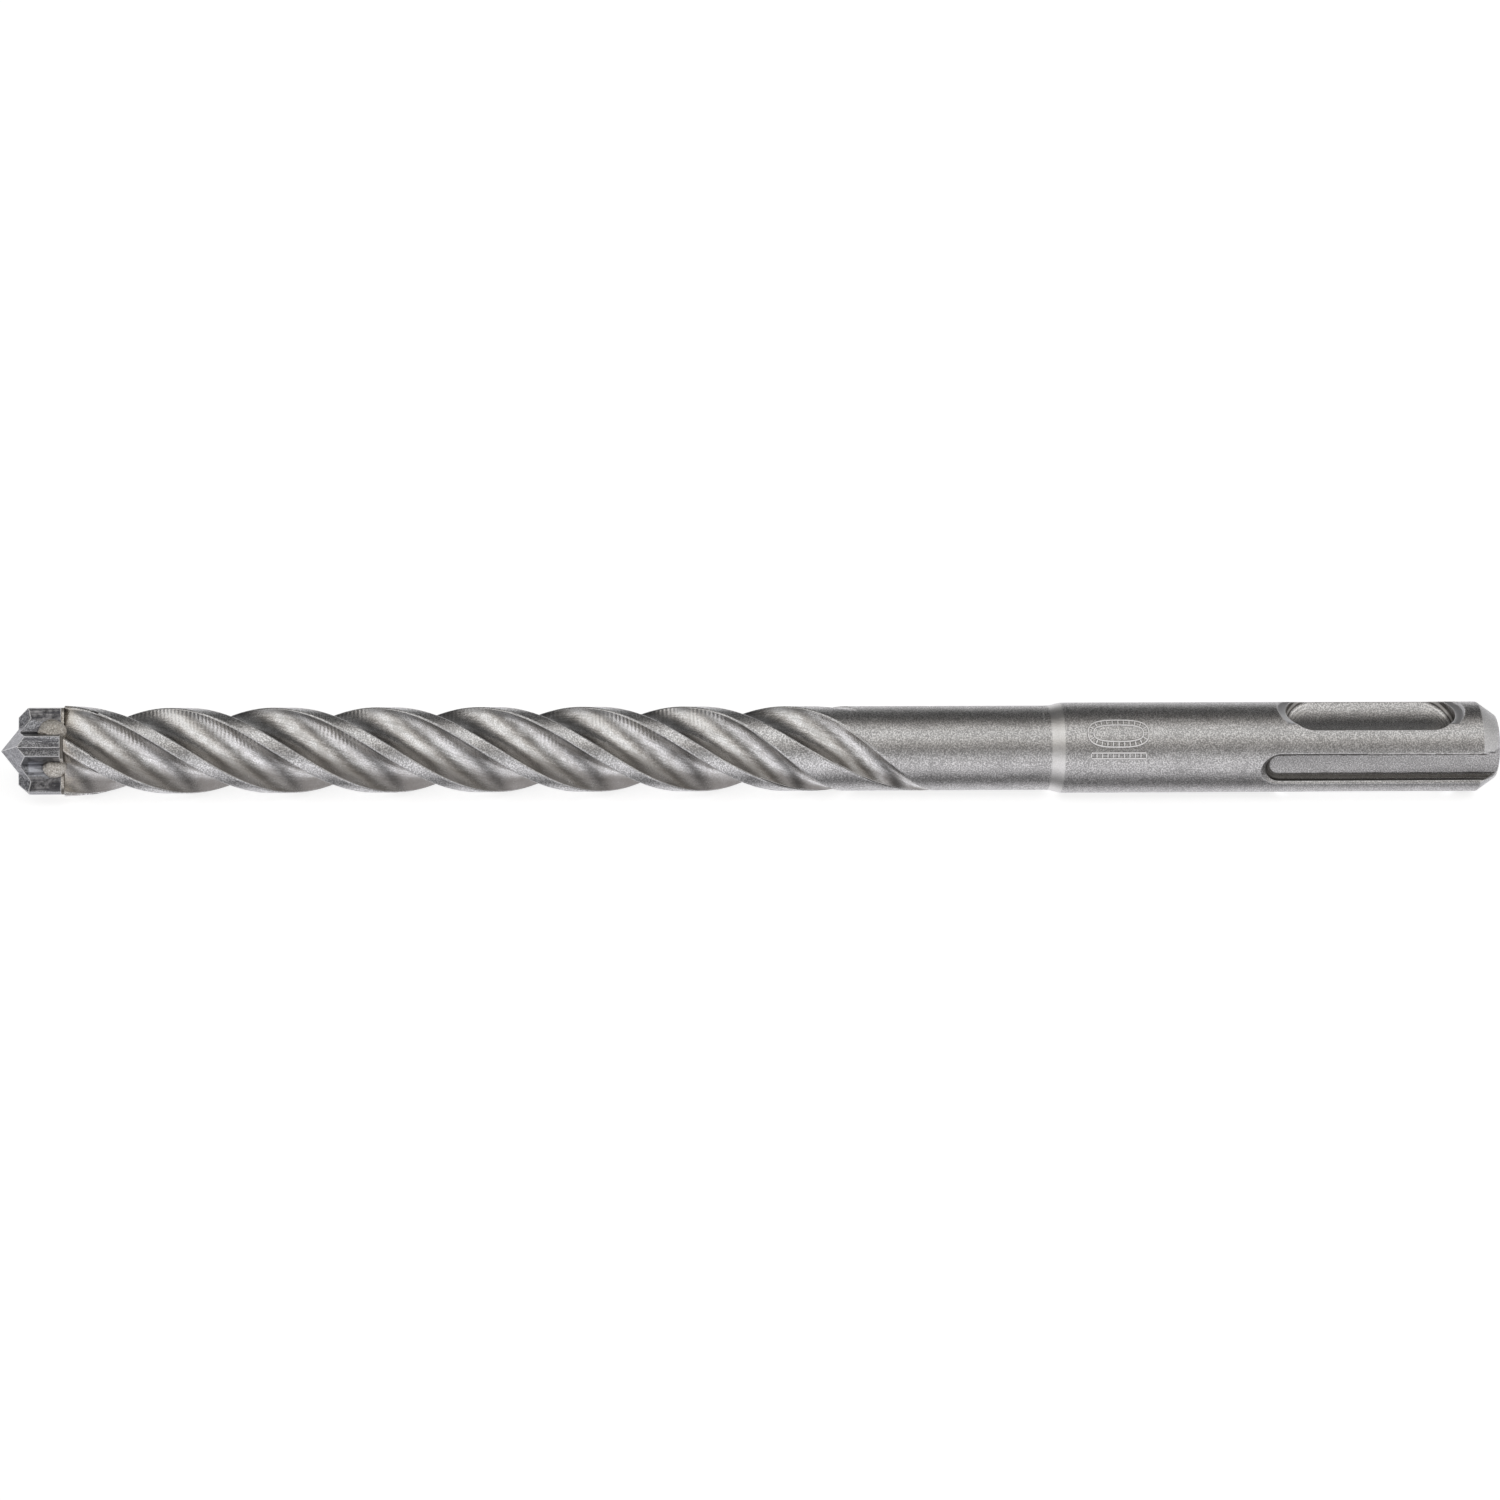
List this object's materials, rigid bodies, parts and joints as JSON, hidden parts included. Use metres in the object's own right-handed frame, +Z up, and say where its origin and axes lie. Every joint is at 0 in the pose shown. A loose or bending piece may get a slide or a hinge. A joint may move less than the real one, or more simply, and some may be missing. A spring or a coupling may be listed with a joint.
{
  "type": "hammer drill bit",
  "caption": "Slotted-shank hammer drill bit: solid carbide cross head brazed to a steel body with right-hand helical flutes, plain neck and shank with drive grooves and locking pockets",
  "frame": {"origin": "middle of the length, on the surface that the bit lies on", "axes": "X along the bit with the tip towards -X and the shank end towards +X; Z up; drive grooves face +Y and -Y, locking pockets +Z and -Z"},
  "size_m": [0.165, 0.01, 0.01],
  "materials": {
    "tool_steel": "hardened alloy steel, grit blasted on lands, neck and shank, ground in the flutes",
    "carbide": "sintered tungsten carbide with ground cutting faces",
    "braze": "tan filler metal as it ran, blasted"
  },
  "bodies": {
    "root": {"steel_body": "tool_steel", "carbide_head": "carbide", "braze_joint": "braze"}
  },
  "joints": []
}
